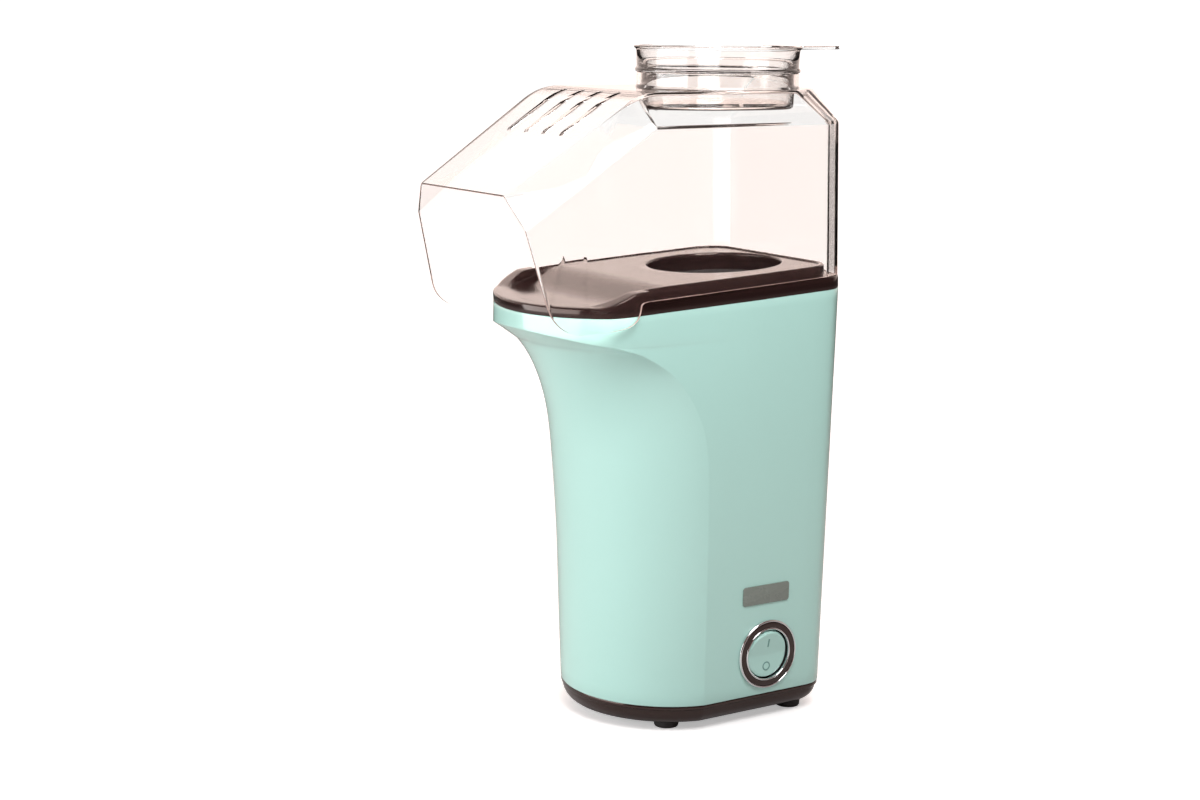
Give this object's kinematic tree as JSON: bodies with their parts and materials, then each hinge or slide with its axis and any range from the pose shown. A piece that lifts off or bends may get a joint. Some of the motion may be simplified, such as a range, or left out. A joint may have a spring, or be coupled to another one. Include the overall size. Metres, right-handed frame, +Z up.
{
  "type": "hot-air popcorn maker",
  "caption": "Countertop hot-air popcorn maker: tapered body with overhanging nose, dark collar, clear chute cover with vent slots, lift-out measuring cup with tab, round rocker switch.",
  "frame": {"origin": "on the resting plane, at the centre of the object's box", "axes": "+Z up, -Y towards the chute, +X towards the switch"},
  "size_m": [0.117, 0.225, 0.34],
  "materials": {
    "mint_plastic": "smooth satin-gloss moulding",
    "cocoa_plastic": "polished dark brown moulding",
    "foot_rubber": "matt rubber",
    "screw_steel": "zinc plated",
    "part_steel": "drawn steel",
    "chamber_alloy": "spun, slightly brushed",
    "seal_silicone": "matt silicone",
    "duct_resin": "heat resistant resin",
    "heater_board": "layered mica board",
    "heater_wire": "oxidised resistance wire",
    "magnet_ferrite": "ferrite",
    "bush_bronze": "sintered bronze",
    "fan_plastic": "moulded",
    "armature_copper": "wound copper on steel",
    "board_green": "circuit board",
    "black_plastic": "moulded",
    "terminal_brass": "stamped",
    "bright_chrome": "bright plated",
    "badge_grey": "satin grey",
    "clear_plastic": "clear moulding, faint warm edge tint"
  },
  "bodies": {
    "base": {"body_shell": "mint_plastic", "deck_collar": "cocoa_plastic", "base_pan": "cocoa_plastic", "switch_bezel": "cocoa_plastic", "cord_gland": "cocoa_plastic", "feet": "foot_rubber", "base_screws": "screw_steel", "duct_screws": "screw_steel", "bracket_screws": "screw_steel", "motor_screws": "screw_steel", "popping_chamber": "chamber_alloy", "chamber_seal": "seal_silicone", "air_duct": "duct_resin", "heater_former": "heater_board", "heater_coil": "heater_wire", "thermostat": "part_steel", "thermal_fuse": "chamber_alloy", "motor_bracket": "duct_resin", "motor_can": "part_steel", "motor_magnets": "magnet_ferrite", "motor_end_cap": "fan_plastic", "motor_bushes": "bush_bronze", "rectifier_board": "board_green", "rectifier_diodes": "black_plastic", "switch_case": "black_plastic", "switch_terminals": "terminal_brass", "bezel_outer_ring": "bright_chrome", "bezel_inner_ring": "bright_chrome", "badge_plate": "badge_grey"},
    "cover": {"clear_cover": "clear_plastic"},
    "cup": {"measuring_cup": "clear_plastic"},
    "rocker": {"rocker_button": "mint_plastic"},
    "rotor": {"fan_impeller": "fan_plastic", "motor_shaft": "part_steel", "motor_armature": "armature_copper"}
  },
  "joints": [
    {"name": "cover_lift", "type": "slide", "parent": "base", "child": "cover", "axis": [0, 0, 1], "range_m": [0, 0.12]},
    {"name": "cup_lift", "type": "slide", "parent": "cover", "child": "cup", "axis": [0, 0, 1], "range_m": [0, 0.05]},
    {"name": "rocker_tilt", "type": "hinge", "parent": "base", "child": "rocker", "pos_m": [0.04951, 0.036, 0.03528], "axis": [0, -1, 0], "range_deg": [0, 12]},
    {"name": "fan_spin", "type": "hinge", "parent": "base", "child": "rotor", "pos_m": [0, 0.037, 0.07], "axis": [0, 0, 1], "continuous": true}
  ]
}
